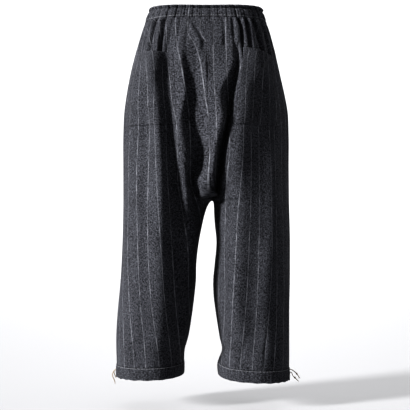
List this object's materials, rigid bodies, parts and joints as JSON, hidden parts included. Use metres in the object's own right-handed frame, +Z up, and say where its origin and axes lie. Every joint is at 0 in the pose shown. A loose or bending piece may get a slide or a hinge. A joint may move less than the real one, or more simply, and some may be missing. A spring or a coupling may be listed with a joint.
{
  "type": "balloon trousers",
  "caption": "Worn balloon trousers with a gathered elastic waist, a dropped seat, patch hip pockets and drawcord hems.",
  "frame": {"origin": "the middle of the waist opening, level with the top edge of the waist casing", "axes": "+Z up as worn, -Y towards the back, which is the side in the picture, and -X towards the left hip"},
  "size_m": [0.5223, 0.3465, 1.0444],
  "materials": {
    "wool_cloth": "charcoal melange wool with a pale pinstripe",
    "pocket_cloth": "the same wool, cut as a patch",
    "casing_cloth": "the same wool, doubled over the elastic and the drawcords",
    "twine": "beige twisted twine"
  },
  "bodies": {
    "root": {"back_left": "wool_cloth", "back_right": "wool_cloth", "front_left": "wool_cloth", "front_right": "wool_cloth", "pocket_left": "pocket_cloth", "pocket_right": "pocket_cloth", "waistband": "casing_cloth", "hem_left": "casing_cloth", "hem_right": "casing_cloth", "cord_left_long": "twine", "cord_left_short": "twine", "cord_right_upper": "twine", "cord_right_lower": "twine", "knot_right_upper": "twine", "knot_right_lower": "twine"}
  },
  "joints": []
}
